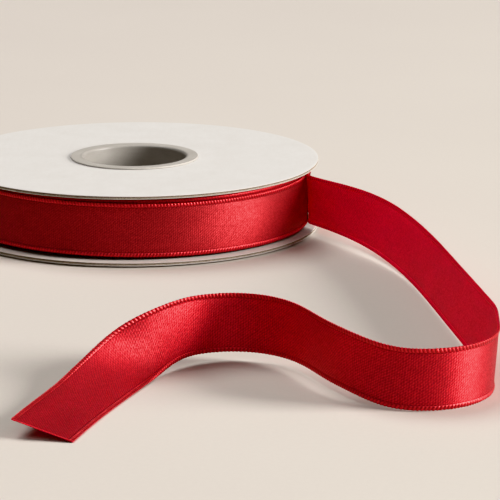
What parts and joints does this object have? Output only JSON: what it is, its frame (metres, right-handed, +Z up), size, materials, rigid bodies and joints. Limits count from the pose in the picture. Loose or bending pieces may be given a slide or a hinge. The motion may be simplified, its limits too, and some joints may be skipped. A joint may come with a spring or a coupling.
{
  "type": "ribbon spool",
  "caption": "Flat spool of satin ribbon: paper-faced card discs turn loosely on a two-piece hub with a round bore, the wound ribbon lies between them, and its free end lies beside the spool.",
  "frame": {"origin": "on the spool's axis, on the surface the lower collar stands on", "axes": "+Z up along the spool's axis; the ribbon's free end leaves the roll on the +X side and lies round towards -Y"},
  "size_m": [0.1568, 0.2877, 0.0223],
  "materials": {
    "hub": "matte moulded grey",
    "face_paper": "matte white paper",
    "card": "raw grey-brown card edge",
    "lining_paper": "matte off-white paper",
    "tube_card": "raw card tube",
    "ribbon": "red satin weave with corded edges"
  },
  "bodies": {
    "hub": {"hub_upper": "hub", "hub_lower": "hub"},
    "roll": {"core_tube": "tube_card", "ribbon_roll": "ribbon", "ribbon_tail": "ribbon"},
    "top_disc": {"top_disc_face": "face_paper", "top_disc_board": "card", "top_disc_lining": "lining_paper"},
    "bottom_disc": {"bottom_disc_face": "face_paper", "bottom_disc_board": "card", "bottom_disc_lining": "lining_paper"}
  },
  "joints": [
    {"name": "roll_spin", "type": "hinge", "parent": "hub", "child": "roll", "pos_m": [0, 0, 0.01], "axis": [0, 0, 1], "continuous": true},
    {"name": "top_disc_spin", "type": "hinge", "parent": "hub", "child": "top_disc", "pos_m": [0, 0, 0.0212], "axis": [0, 0, 1], "continuous": true},
    {"name": "bottom_disc_spin", "type": "hinge", "parent": "hub", "child": "bottom_disc", "pos_m": [0, 0, 0.0011], "axis": [0, 0, 1], "continuous": true}
  ]
}
